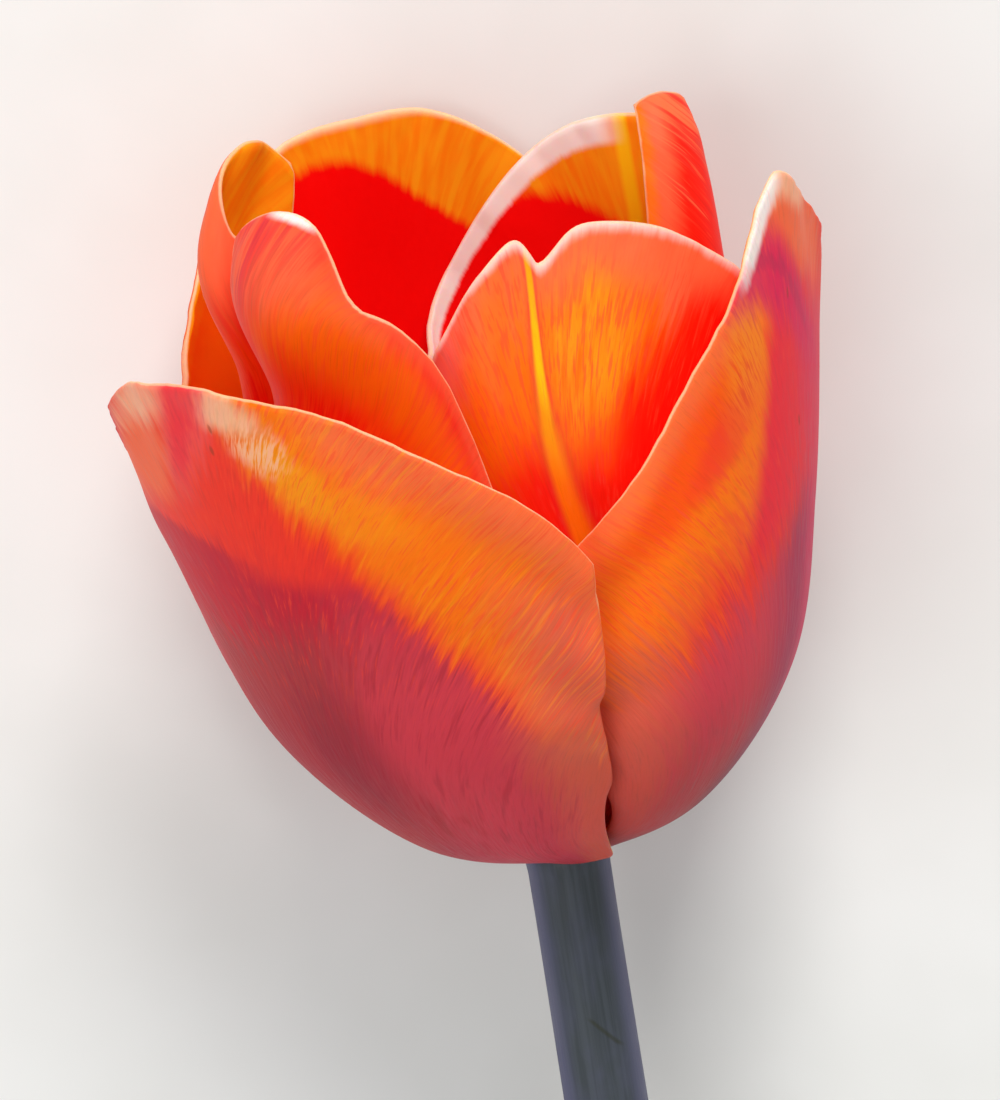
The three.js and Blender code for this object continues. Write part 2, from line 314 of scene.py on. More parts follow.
def margin_wave(tepal, u, v):
    """The waves that a tepal's margins carry, in millimetres off its face."""
    reach = np.abs(v)
    side = np.where(v < 0, 0.0, 0.37)
    along = smooth(0.5, 1, reach) * smooth(0.2, 0.55, u) * np.sin(
        2 * np.pi * (WAVES_ALONG * u + tepal["phase"] + side)
    )
    across = smooth(0.82, 1, u) * (1 - smooth(0.7, 1, reach)) * np.sin(
        2 * np.pi * (WAVES_ACROSS * v + tepal["phase"])
    )
    return WAVE_HEIGHT * (along + across)


def frill(tepal, u, v, t, aside):
    """The fine, uneven frill along the free margins, in millimetres off the face."""
    rng = np.random.default_rng(int(tepal["azimuth"]))
    near = np.maximum(smooth(0.88, 1, np.abs(v)) * smooth(0.3, 0.6, u), 0.6 * smooth(0.93, 1, u))
    along_margin = TEPAL_LENGTH * t - np.abs(aside) + 2 * v
    total = np.zeros_like(t)
    for length, height in FRILLS:
        total += height * np.sin(2 * np.pi * (along_margin / length + rng.random()))
    return near * total


def side_value(tepal, name, t, left):
    return np.where(left, through(tepal[name][0], t), through(tepal[name][1], t))


def tepal_points(tepal, u, v):
    """Points on a tepal's middle surface: u runs from base to tip, v from the left margin to the right."""
    reach = np.abs(v)
    left = v < 0
    side = np.where(left, -1.0, 1.0)
    drop = np.where(left, *tepal["drop"])
    power = np.where(left, *tepal["power"])
    notch = tepal["notch"] * np.exp(-((v / tepal["notch_width"]) ** 2))
    t = u * (1 - drop * reach**power - notch)
    width = side_value(tepal, "width", t, left)
    bend = np.radians(side_value(tepal, "bend", t, left))
    curl = np.radians(side_value(tepal, "curl", t, left))
    groove = np.radians(side_value(tepal, "groove", t, left))
    curl_from = np.where(left, *tepal["curl_from"])

    def heading(c):
        fold = smooth(0, CREASE_REACH, c) - smooth(0, GROOVE_REACH, c)
        return bend * c + curl * smooth(curl_from, 1, c) - groove * fold

    across = np.zeros_like(t)
    inwards = np.zeros_like(t)
    for step in range(BEND_STEPS):
        turn = heading(reach * (step + 0.5) / BEND_STEPS)
        across += np.cos(turn) * reach * width / BEND_STEPS
        inwards += np.sin(turn) * reach * width / BEND_STEPS
    wave = margin_wave(tepal, u, v) + frill(tepal, u, v, t, v * width)
    turn = heading(reach)
    across = side * (across - np.sin(turn) * wave)
    inwards = inwards + np.cos(turn) * wave

    before, after = t - SLOPE_STEP, t + SLOPE_STEP
    d_radius = through(tepal["radius"], after) - through(tepal["radius"], before)
    d_height = through(tepal["height"], after) - through(tepal["height"], before)
    slope = np.hypot(d_radius, d_height)
    azimuth = np.radians(tepal["azimuth"] + through(tepal["sweep"], t))
    out = through(tepal["radius"], t) - inwards * d_height / slope
    return np.stack([
        np.cos(azimuth) * out - np.sin(azimuth) * across,
        np.sin(azimuth) * out + np.cos(azimuth) * across,
        through(tepal["height"], t) + inwards * d_radius / slope,
    ], -1)


def tepal_grid(tepal):
    """Both faces of a tepal as grids of points, with u, v and the distance to the margin in millimetres."""
    steps = np.linspace(0, 1, FINE_ROWS + 1)
    steps = (1 + ROWS_CROWD) * steps - ROWS_CROWD * steps**3
    u = steps[:, None] * np.ones((1, FINE_COLUMNS + 1))
    steps = np.linspace(-1, 1, FINE_COLUMNS + 1)
    steps = (1 + COLUMNS_CROWD) * steps - COLUMNS_CROWD * steps**3
    v = steps[None, :] * np.ones((FINE_ROWS + 1, 1))
    near_tip = np.clip((u - CORNER_FROM) / (1 - CORNER_FROM), 0, 1)
    corner = np.where(v < 0, *tepal["corner"])
    v = v * (1 - corner * (1 - np.sqrt(1 - near_tip**2)))
    middle = tepal_points(tepal, u, v)
    e = NORMAL_STEP
    along_u = tepal_points(tepal, np.minimum(u + e, 1), v) - tepal_points(tepal, np.maximum(u - e, 0), v)
    along_v = tepal_points(tepal, u, np.minimum(v + e, 1)) - tepal_points(tepal, u, np.maximum(v - e, -1))
    outwards = np.cross(along_v, along_u)
    outwards /= np.linalg.norm(outwards, axis=-1, keepdims=True)
    thinning = np.maximum(smooth(0.5, 1, np.abs(v)), smooth(0.7, 1, u))
    thick = THICK_MIDDLE + (THICK_MARGIN - THICK_MIDDLE) * thinning
    to_side = np.cumsum(np.linalg.norm(np.diff(middle, axis=1), axis=-1), axis=1)
    to_side = np.concatenate([np.zeros((FINE_ROWS + 1, 1)), to_side], 1)
    to_side = np.minimum(to_side, to_side[:, -1:] - to_side)
    to_tip = np.cumsum(np.linalg.norm(np.diff(middle, axis=0), axis=-1)[::-1], axis=0)[::-1]
    to_tip = np.concatenate([to_tip, np.zeros((1, FINE_COLUMNS + 1))], 0)
    margin = np.minimum(to_side, to_tip)
    # the margins end in a thin round edge
    from_edge = np.clip(margin / EDGE_REACH, 0, 1)
    thick *= EDGE_SHARE + (1 - EDGE_SHARE) * np.sqrt(1 - (1 - from_edge) ** 2)
    outer = middle + outwards * thick[..., None] / 2
    inner = middle - outwards * thick[..., None] / 2
    # the lowest tepal is pressed flat where the flower lies on it
    pressed = np.maximum(outer[..., 1] * math.cos(RISE) - outer[..., 2] * math.sin(RISE) - LIFT, 0)
    for face in (outer, inner):
        face[..., 1] -= pressed * math.cos(RISE)
        face[..., 2] += pressed * math.sin(RISE)
    return outer, inner, u, v, margin


def veins(tepal, u, v):
    """The millimetres from base to point, and a number that stays the same along each vein. The veins
    run up the middle and fan out to the margins. Halfway up, the number counts about one a millimetre."""
    reach = np.abs(v)
    t = u * (1 - np.where(v < 0, *tepal["drop"]) * reach ** np.where(v < 0, *tepal["power"]))
    length = TEPAL_LENGTH * t
    aside = v * side_value(tepal, "width", t, v < 0)
    fan = (length + FAN_FROM) * np.exp((t / FAN_SPREAD) ** 2)
    return length, aside * VEIN_COUNT / fan


def new_piece(name, vertices, faces, node, material):
    mesh = bpy.data.meshes.new(name)
    mesh.from_pydata(vertices.tolist(), [], faces)
    mesh.polygons.foreach_set("use_smooth", [True] * len(mesh.polygons))
    mesh.materials.append(material)
    mesh.update()
    piece = bpy.data.objects.new(name, mesh)
    bpy.context.scene.collection.objects.link(piece)
    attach(piece, "root")
    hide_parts(node)
    return piece


def add_vectors(piece, name, values):
    layer = piece.data.attributes.new(name, "FLOAT_VECTOR", "POINT")
    layer.data.foreach_set("vector", np.ascontiguousarray(values, np.float32).ravel())


def make_tepal(name, tepal, material):
    outer, inner, u, v, margin = tepal_grid(tepal)
    rows, columns = u.shape
    count = rows * columns
    number = np.arange(count).reshape(rows, columns)
    a, b, c, d = number[:-1, :-1], number[:-1, 1:], number[1:, 1:], number[1:, :-1]
    front = np.stack([a, b, c, d], -1).reshape(-1, 4)
    back = np.stack([a, d, c, b], -1).reshape(-1, 4) + count
    rim = np.concatenate([number[0, :-1], number[:-1, -1], number[-1, :0:-1], number[:0:-1, 0]])
    following = np.roll(rim, -1)
    edge = np.stack([rim, rim + count, following + count, following], -1)
    faces = np.concatenate([front, back, edge]).tolist()
    vertices = laid(np.concatenate([outer.reshape(-1, 3), inner.reshape(-1, 3)]))
    piece = new_piece(f"{name}_fine", vertices, faces, name, material)
    face = np.zeros_like(u)
    place = np.stack([v, u, face], -1).reshape(-1, 3)
    place = np.concatenate([place, place + [0, 0, 1]])
    length, vein = veins(tepal, u, v)
    flesh = np.stack([vein, length, margin], -1).reshape(-1, 3)
    add_vectors(piece, "place", place)
    add_vectors(piece, "flesh", np.concatenate([flesh, flesh]))


class Nodes:
    """Short names for the shader nodes that the materials are made of."""

    def __init__(self, name):
        self.material = bpy.data.materials.new(name)
        self.material.use_nodes = True
        self.tree = self.material.node_tree
        self.shader = self.tree.nodes["Principled BSDF"]

    def put(self, socket, value):
        if isinstance(value, bpy.types.NodeSocket):
            self.tree.links.new(value, socket)
        elif isinstance(value, tuple) and len(value) == 3 and socket.type == "RGBA":
            socket.default_value = (*value, 1)
        else:
            socket.default_value = value

    def vector(self, name):
        node = self.tree.nodes.new("ShaderNodeAttribute")
        node.attribute_name = name
        return node.outputs["Vector"]

    def split(self, vector):
        node = self.tree.nodes.new("ShaderNodeSeparateXYZ")
        self.put(node.inputs[0], vector)
        return node.outputs[0], node.outputs[1], node.outputs[2]

    def join(self, x, y, z):
        node = self.tree.nodes.new("ShaderNodeCombineXYZ")
        for socket, value in zip(node.inputs, (x, y, z)):
            self.put(socket, value)
        return node.outputs[0]

    def math(self, operation, a, b=0.0):
        node = self.tree.nodes.new("ShaderNodeMath")
        node.operation = operation
        self.put(node.inputs[0], a)
        self.put(node.inputs[1], b)
        return node.outputs[0]

    def ramp(self, x, low, high, to_low=0.0, to_high=1.0):
        node = self.tree.nodes.new("ShaderNodeMapRange")
        node.interpolation_type = "SMOOTHSTEP"
        for socket, value in zip(node.inputs[:5], (x, low, high, to_low, to_high)):
            self.put(socket, value)
        return node.outputs[0]

    def noise(self, vector, scale, detail=3.0, roughness=0.55):
        node = self.tree.nodes.new("ShaderNodeTexNoise")
        self.put(node.inputs["Vector"], vector)
        self.put(node.inputs["Scale"], scale)
        self.put(node.inputs["Detail"], detail)
        self.put(node.inputs["Roughness"], roughness)
        return node.outputs["Fac"]

    def mix(self, factor, a, b):
        node = self.tree.nodes.new("ShaderNodeMix")
        node.data_type = "RGBA"
        self.put(node.inputs[0], factor)
        self.put(node.inputs[6], a)
        self.put(node.inputs[7], b)
        return node.outputs[2]

    def blend(self, factor, a, b):
        """The same as mix, but for plain numbers."""
        node = self.tree.nodes.new("ShaderNodeMix")
        self.put(node.inputs[0], factor)
        self.put(node.inputs[2], a)
        self.put(node.inputs[3], b)
        return node.outputs[0]

    def multiply(self, a, b):
        node = self.tree.nodes.new("ShaderNodeMix")
        node.data_type = "RGBA"
        node.blend_type = "MULTIPLY"
        node.inputs[0].default_value = 1.0
        self.put(node.inputs[6], a)
        self.put(node.inputs[7], b)
        return node.outputs[2]

    def colours(self, x, stops):
        node = self.tree.nodes.new("ShaderNodeValToRGB")
        self.put(node.inputs[0], x)
        ramp = node.color_ramp
        ramp.interpolation = "EASE"
        while len(ramp.elements) < len(stops):
            ramp.elements.new(1.0)
        for element, (place, colour) in zip(ramp.elements, stops):
            element.position = place
            element.color = (*colour, 1)
        return node.outputs[0]

    def bump(self, height, distance, strength=1.0):
        node = self.tree.nodes.new("ShaderNodeBump")
        node.inputs["Distance"].default_value = distance
        node.inputs["Strength"].default_value = strength
        self.put(node.inputs["Height"], height)
        return node.outputs[0]


def shade(red, green, blue):
    """A display colour from 0 to 255 as the linear colour that shaders take."""
    def linear(c):
        c = c / 255
        return c / 12.92 if c <= 0.04045 else ((c + 0.055) / 1.055) ** 2.4
    return (linear(red), linear(green), linear(blue))


PLUM = shade(112, 30, 52)
MAROON = shade(170, 40, 54)
CRIMSON = shade(198, 30, 50)
BRICK = shade(176, 52, 58)
PURPLE = shade(166, 40, 82)
ROSE = shade(212, 62, 76)
MAGENTA = shade(220, 24, 84)
CERISE = shade(236, 34, 58)
DEEP_RED = shade(252, 4, 4)
SCARLET = shade(248, 28, 6)
CORAL_RED = shade(242, 54, 36)
VERMILION = shade(252, 74, 10)
ORANGE = shade(254, 118, 8)
GLOW = shade(255, 134, 8)
AMBER = shade(255, 160, 18)
YELLOW = shade(255, 200, 14)
CORAL = shade(250, 110, 66)
PINK = shade(244, 96, 92)
SALMON = shade(222, 98, 70)
# pale colours laid on rims and tips as painted highlights
PEACH_HIGHLIGHT = shade(255, 204, 164)
BLUSH_HIGHLIGHT = shade(255, 240, 234)
BROWN = shade(150, 60, 30)
SLATE = shade(58, 64, 68)
PALE_SLATE = shade(68, 74, 80)
VIOLET = shade(92, 92, 122)
OLIVE = shade(48, 50, 32)
LEAF_GREEN = shade(92, 112, 88)
CUT_GREEN = shade(196, 206, 150)
PISTIL_DARK = shade(150, 150, 70)
PISTIL_LIGHT = shade(204, 196, 110)
FILAMENT_DARK = shade(40, 24, 44)
FILAMENT_LIGHT = shade(70, 44, 74)
ANTHER_DARK = shade(28, 16, 30)
ANTHER_LIGHT = shade(54, 38, 58)
FLOOR_DARK = shade(226, 226, 222)
FLOOR_LIGHT = shade(232, 232, 229)


class Petal(Nodes):
    """The shader of one tepal, with the fields that its colours are laid out by."""

    def __init__(self, name):
        super().__init__(name)
        self.v, self.u, self.face = self.split(self.vector("place"))
        self.vein, self.length, self.margin = self.split(self.vector("flesh"))
        self.fine = self.streak(3.2, 0.4)
        self.streaks = self.streak(1.1, 0.16)
        self.broad = self.streak(0.3, 0.06)
        # how far the veins carry one colour into the next, from about -1 to 1
        medium = self.math("MULTIPLY", self.math("SUBTRACT", self.streaks, 0.5), 2.4)
        large = self.math("MULTIPLY", self.math("SUBTRACT", self.broad, 0.5), 2.2)
        small = self.math("SUBTRACT", self.fine, 0.5)
        self.stray = self.math("ADD", self.math("ADD", medium, large), small)

    def streak(self, across, along):
        """Noise drawn out along the veins, about so many cells to the millimetre across and along them.
        The veins spread towards the tip, so finer ones take over there."""
        y = self.math("MULTIPLY", self.length, along)
        z = self.math("MULTIPLY", self.face, 7.0)
        low, middle, high = [
            self.noise(self.join(self.math("MULTIPLY", self.vein, across * share), y, z), 1.0, 2.0, 0.6)
            for share in (0.6, 1.7, 4.5)
        ]
        upper = self.blend(self.ramp(self.length, 46, 60), middle, high)
        return self.blend(self.ramp(self.length, 22, 36), low, upper)

    def strayed(self, x, share):
        return self.math("ADD", x, self.math("MULTIPLY", self.stray, share))

    def lean(self, share, stray=0.05):
        """u and a share of v, so that a step in it runs aslant over the tepal."""
        return self.strayed(self.math("ADD", self.u, self.math("MULTIPLY", self.v, share)), stray)

    def flame(self, stops, stray=0.06):
        """Colours from base to tip."""
        return self.colours(self.strayed(self.u, stray), stops)

    def by_margin(self, reach, soft, stray=1.0):
        """1 at the margin, 0 further in than so many millimetres."""
        return self.ramp(self.strayed(self.margin, stray), reach + soft, reach - soft)

    def spot(self, v, u, v_reach, u_reach, soft=0.45, stray=0.4):
        """1 in an oval patch round v and u."""
        x = self.math("DIVIDE", self.math("SUBTRACT", self.v, v), v_reach)
        y = self.math("DIVIDE", self.math("SUBTRACT", self.u, u), u_reach)
        span = self.math("ADD", self.math("MULTIPLY", x, x), self.math("MULTIPLY", y, y))
        span = self.strayed(self.math("SQRT", span), stray)
        return self.ramp(span, 1 + soft, 1 - soft)

    def line(self, v, slope, width, stray=0.0):
        """1 along a line that passes v at the tip and leans with u."""
        centre = self.math("MULTIPLY", self.math("SUBTRACT", self.u, 1.0), slope)
        aside = self.math("SUBTRACT", self.v, self.math("ADD", centre, v))
        aside = self.strayed(self.math("ABSOLUTE", aside), stray)
        return self.ramp(aside, width, self.math("MULTIPLY", width, 0.3))

    def both(self, a, b):
        """The place where two masks meet."""
        return self.math("MULTIPLY", a, b)

    def over(self, base, colour, *masks, share=1.0):
        """The base with a colour laid over it where all masks meet."""
        factor = share
        for mask in masks:
            factor = self.math("MULTIPLY", mask, factor)
        return self.mix(factor, base, colour)

    def blemish(self, base, v, u):
        """A small dry scar."""
        return self.over(base, BROWN, self.spot(v, u, 0.006, 0.006, 0.5, 0.1), share=0.6)

    def inner_face(self, orange):
        """The inside: deep red as painted shade, orange where the mask says so as painted light through the
        tepal, yellow at the base.
        """
        # painted light and shade: the orange band stands in for light through the thin tepal, the deep red
        # for shade
        bright = self.mix(self.ramp(self.streaks, 0.35, 0.65), GLOW, AMBER)
        colour = self.over(DEEP_RED, bright, orange)
        return self.over(colour, YELLOW, self.ramp(self.u, 0.16, 0.1))

    def finish(self, outer, inner, rim_highlight_width):
        """Joins the two faces, adds the pale rim, a painted highlight, and the veins, their pale streaks
        partly painted sheen, and sets the finish.
        """
        outside = self.math("SUBTRACT", 1.0, self.face)
        # pale coral streaks along the veins: partly the tepal's own streaking, partly painted sheen
        pale_streaks = self.both(self.ramp(self.fine, 0.52, 0.78), self.ramp(self.u, 0.4, 0.8))
        outer = self.over(outer, CORAL, pale_streaks, share=0.25)
        colour = self.mix(self.face, outer, inner)
        # painted highlight: a pale rim along the margin near the tip
        rim = self.by_margin(rim_highlight_width, rim_highlight_width * 0.6, 0.05)
        colour = self.over(colour, PEACH_HIGHLIGHT, rim, self.ramp(self.u, 0.85, 0.95), share=0.6)
        dark = self.math("MULTIPLY", self.ramp(self.fine, 0.55, 0.25, 0.0, 0.12), outside)
        dark = self.math("SUBTRACT", 1.0, dark)
        colour = self.multiply(colour, self.join(dark, dark, dark))
        self.put(self.shader.inputs["Base Color"], colour)
        self.put(self.shader.inputs["Roughness"], self.ramp(self.fine, 0.3, 0.7, 0.42, 0.56))
        across = self.math("MULTIPLY", self.vein, 1.8)
        ridges = self.noise(self.join(across, self.math("MULTIPLY", self.length, 0.3), 0.0), 1.0, 2.0)
        self.put(self.shader.inputs["Normal"], self.bump(ridges, RIDGE_HEIGHT, 0.3))
        self.shader.inputs["Specular IOR Level"].default_value = 0.1
        self.shader.inputs["Subsurface Weight"].default_value = FLESH_SHARE
        self.shader.inputs["Subsurface Radius"].default_value = FLESH_RADIUS
        self.shader.inputs["Subsurface Scale"].default_value = FLESH_SCALE
        return self.material


def outer_left_look():
    """A rose flame under an orange shoulder, salmon beside the seam, a cerise streak at the tip, which
    painted highlights make pale.
    """
    p = Petal("tepal_outer_left")
    colour = p.flame([
        (0, BRICK), (0.2, BRICK), (0.42, MAROON), (0.58, BRICK),
        (0.7, CRIMSON), (0.8, CORAL_RED), (1, CORAL_RED),
    ])
    colour = p.over(colour, ROSE, p.spot(0.55, 0.5, 0.32, 0.24), share=0.85)
    colour = p.over(colour, PURPLE, p.spot(0.45, 0.14, 0.4, 0.14), share=0.35)
    colour = p.over(colour, ROSE, p.spot(0.6, 0.2, 0.35, 0.14), share=0.6)
    colour = p.over(colour, PLUM, p.spot(0.12, 0.44, 0.14, 0.12), share=0.3)
    low = p.ramp(p.strayed(p.u, 0.1), 0.76, 0.64)
    colour = p.over(colour, MAROON, p.ramp(p.streaks, 0.5, 0.32), low, share=0.5)
    colour = p.over(colour, CORAL_RED, p.ramp(p.fine, 0.55, 0.7), p.ramp(p.u, 0.45, 0.65), share=0.3)
    far_left = p.ramp(p.strayed(p.v, 0.1), -0.35, -0.7)
    colour = p.over(colour, ROSE, far_left, p.ramp(p.u, 0.25, 0.4), share=0.6)
    colour = p.over(colour, CORAL_RED, p.spot(0.22, 0.77, 0.2, 0.05), share=0.7)
    left_flame = p.both(p.ramp(p.lean(0.11, 0.015), 0.765, 0.745), p.ramp(p.lean(0.0), 0.6, 0.68))
    colour = p.over(colour, CRIMSON, left_flame, p.ramp(p.strayed(p.v, 0.05), 0.15, -0.1), share=0.9)
    shoulder = p.both(p.ramp(p.lean(0.6, 0.06), 0.96, 1.07), p.ramp(p.v, 0.08, 0.26))
    below_shoulder = p.both(p.ramp(p.lean(0.6, 0.05), 0.93, 1.0), p.ramp(p.v, 0.15, 0.3))
    colour = p.over(colour, VERMILION, below_shoulder, share=0.7)
    colour = p.over(colour, ORANGE, shoulder)
    colour = p.over(colour, CORAL, shoulder, p.by_margin(6.0, 4.0, 2.0), p.ramp(p.v, 0.35, 0.5), share=0.8)
    beside_seam = p.both(p.ramp(p.strayed(p.v, 0.08), 0.62, 0.88), p.ramp(p.strayed(p.u, 0.1), 0.9, 0.7))
    colour = p.over(colour, SALMON, beside_seam, p.ramp(p.u, 0.1, 0.6, 0.5))
    colour = p.over(colour, AMBER, shoulder, p.spot(0.3, 0.885, 0.1, 0.05), share=0.7)
    colour = p.over(colour, AMBER, shoulder, p.spot(0.45, 0.84, 0.14, 0.04), share=0.35)
    colour = p.over(colour, AMBER, shoulder, p.ramp(p.streaks, 0.5, 0.66), share=0.35)
    colour = p.over(colour, CORAL_RED, shoulder, p.ramp(p.fine, 0.5, 0.64), share=0.5)
    colour = p.over(colour, CORAL, p.spot(-0.4, 0.9, 0.3, 0.07), share=0.8)
    # painted highlights: pale spots on the tip
    colour = p.over(colour, PEACH_HIGHLIGHT, p.spot(0.17, 0.975, 0.12, 0.03), share=0.7)
    colour = p.over(colour, PEACH_HIGHLIGHT, p.spot(0.26, 0.93, 0.09, 0.035), p.ramp(p.fine, 0.4, 0.6), share=0.7)
    colour = p.over(colour, PEACH_HIGHLIGHT, p.spot(-0.3, 0.98, 0.26, 0.035, 0.6), share=0.6)
    colour = p.over(colour, PINK, p.line(0.06, 1.3, 0.16, 0.06), p.ramp(p.u, 0.8, 0.92), share=0.7)
    colour = p.over(colour, CERISE, p.line(0.06, 1.3, 0.1, 0.05), p.ramp(p.u, 0.8, 0.9), share=0.7)
    colour = p.blemish(p.blemish(colour, 0.12, 0.945), 0.095, 0.913)
    inner = p.inner_face(p.by_margin(6, 1))
    return p.finish(colour, inner, 0.1)


def outer_right_look():
    """An orange fold beside the seam, a red strip up the middle, purple beyond and below, a tip made pale
    by painted highlights.
    """
    p = Petal("tepal_outer_right")
    colour = p.flame([(0, PLUM), (0.22, BRICK), (0.55, ROSE), (0.66, CORAL_RED), (1, CORAL_RED)])
    below = p.both(p.ramp(p.strayed(p.v, 0.06), -0.32, 0.0), p.ramp(p.strayed(p.u, 0.06), 0.7, 0.58))
    colour = p.over(colour, PURPLE, below, share=0.85)
    lowest = p.both(p.ramp(p.strayed(p.v, 0.08), -0.45, -0.1), p.ramp(p.u, 0.4, 0.2))
    colour = p.over(colour, PLUM, lowest, share=0.8)
    colour = p.over(colour, CERISE, p.spot(-0.15, 0.76, 0.25, 0.14, 0.3), share=0.8)
    beyond = p.both(p.ramp(p.strayed(p.v, 0.05), -0.05, 0.15), p.ramp(p.u, 0.93, 0.83))
    colour = p.over(colour, MAGENTA, beyond, share=0.7)
    beside_seam = p.both(p.ramp(p.strayed(p.v, 0.08), -0.5, -0.84), p.ramp(p.u, 0.1, 0.65, 0.2))
    colour = p.over(colour, SALMON, beside_seam, share=0.9)
    fold_edge = p.strayed(p.math("SUBTRACT", p.v, p.u), 0.05)
    fold = p.both(p.ramp(fold_edge, -0.97, -1.09), p.ramp(p.strayed(p.u, 0.12), 0.58, 0.8))
    colour = p.over(colour, ORANGE, fold, share=0.95)
    colour = p.over(colour, VERMILION, p.spot(-0.6, 0.9, 0.24, 0.07), fold, share=0.8)
    colour = p.over(colour, CORAL_RED, p.spot(-0.42, 0.86, 0.16, 0.04), fold, share=0.6)
    colour = p.over(colour, CORAL_RED, p.ramp(p.fine, 0.5, 0.64), fold, share=0.6)
    colour = p.over(colour, CORAL, p.by_margin(3.0, 2.5, 1.5), fold, share=0.7)
    colour = p.over(colour, AMBER, p.spot(-0.3, 0.92, 0.12, 0.08), p.ramp(p.fine, 0.4, 0.6), share=0.5)
    colour = p.over(colour, CORAL, p.spot(0.14, 0.97, 0.3, 0.07), share=0.9)
    colour = p.over(colour, MAGENTA, p.line(-0.27, -2.2, 0.17, 0.04), p.ramp(p.u, 0.74, 0.84), share=0.9)
    colour = p.over(colour, PURPLE, p.line(-0.25, -2.2, 0.04, 0.03), p.ramp(p.u, 0.8, 0.86), share=0.3)
    # painted highlights: the tip's pale spots
    colour = p.over(colour, PEACH_HIGHLIGHT, p.spot(0.1, 1.0, 0.2, 0.03), share=0.6)
    colour = p.over(colour, BLUSH_HIGHLIGHT, p.spot(-0.15, 0.995, 0.14, 0.025, 0.4, 0.2), share=0.95)
    colour = p.blemish(p.blemish(colour, -0.01, 0.87), 0.0, 0.72)
    inner = p.inner_face(p.by_margin(6, 1))
    return p.finish(colour, inner, 0.14)


def outer_back_look():
    """Seen from inside: an amber band of painted light under a pale rim, a painted highlight, round a deep
    red heart of painted shade.
    """
    p = Petal("tepal_outer_back")
    colour = p.flame([(0, PLUM), (0.2, MAROON), (0.42, CRIMSON), (0.6, CORAL_RED), (1, CORAL_RED)])
    colour = p.over(colour, SALMON, p.ramp(p.math("ABSOLUTE", p.v), 0.6, 1.0), share=0.6)
    colour = p.over(colour, ORANGE, p.by_margin(9, 3, 3), p.ramp(p.u, 0.5, 0.75))
    colour = p.over(colour, CORAL, p.by_margin(3.5, 2, 2), p.ramp(p.u, 0.5, 0.75), share=0.8)
    # painted light and shade: the lit amber band ends in this line above the shaded deep red
    edge = p.math("ADD", p.strayed(p.u, 0.006), p.ramp(p.v, 0.15, -0.5, -0.008, 0.09))
    inner = p.inner_face(p.ramp(edge, 0.945, 0.965))
    # painted light: the inside of the left margin is brightened against the shade it lies in
    inner = p.over(inner, ORANGE, p.ramp(p.v, 0.42, 0.56), share=0.8)
    # painted highlights along the rim: amber on the left margin, pale near the tip
    inner = p.over(inner, AMBER, p.by_margin(2.2, 1.0, 0.2), p.ramp(p.v, 0.42, 0.56))
    inner = p.over(inner, PEACH_HIGHLIGHT, p.by_margin(0.6, 0.5, 0.1), p.ramp(p.u, 0.8, 0.95), share=0.8)
    return p.finish(colour, inner, 0.2)


def inner_front_look():
    """Coral lobes on both sides of a yellow midrib, scarlet below."""
    p = Petal("tepal_inner_front")
    colour = p.flame([
        (0, MAROON), (0.35, CRIMSON), (0.68, SCARLET), (0.77, SCARLET),
        (0.85, VERMILION), (0.95, CORAL), (1, CORAL),
    ])
    colour = p.over(colour, ORANGE, p.spot(0.1, 0.89, 0.36, 0.1), share=0.9)
    colour = p.over(colour, AMBER, p.spot(0.16, 0.9, 0.16, 0.08), p.ramp(p.streaks, 0.35, 0.6), share=0.7)
    colour = p.over(colour, ORANGE, p.spot(-0.4, 0.88, 0.25, 0.1), share=0.7)
    colour = p.over(colour, CORAL_RED, p.ramp(p.fine, 0.48, 0.62), share=0.5)
    right = p.ramp(p.v, 0.1, 0.3)
    colour = p.over(colour, SCARLET, p.ramp(p.lean(-0.3, 0.03), 0.79, 0.72), right)
    colour = p.over(colour, DEEP_RED, p.ramp(p.lean(-0.3, 0.02), 0.73, 0.69), right, share=0.6)
    # pink on the left lobe's upper margin: the outer face's own tint with a painted highlight
    colour = p.over(colour, PINK, p.spot(-1.0, 0.93, 0.35, 0.14), share=0.8)
    colour = p.over(colour, CORAL, p.spot(0.4, 1.0, 0.5, 0.05), share=0.8)
    # painted shade: darker red lines in the creases beside the raised rib
    crease_shade_lines = p.line(-0.105, -0.35, p.ramp(p.u, 0.8, 1.0, 0.13, 0.06))
    colour = p.over(colour, CRIMSON, crease_shade_lines, p.ramp(p.u, 0.6, 0.75), share=0.45)
    rib_colour = p.colours(p.u, [(0, ORANGE), (0.76, ORANGE), (0.84, AMBER), (0.89, YELLOW), (1, AMBER)])
    rib = p.line(-0.105, -0.35, p.ramp(p.u, 0.78, 0.97, 0.09, 0.034), 0.004)
    colour = p.over(colour, rib_colour, rib, p.ramp(p.u, 0.5, 0.7))
    # painted highlight: a pale rim round the tip
    colour = p.over(colour, BLUSH_HIGHLIGHT, p.by_margin(0.7, 0.7, 0.3), p.ramp(p.u, 0.9, 1.0), share=0.6)
    inner = p.inner_face(p.by_margin(7, 1))
    return p.finish(colour, inner, 0.2)


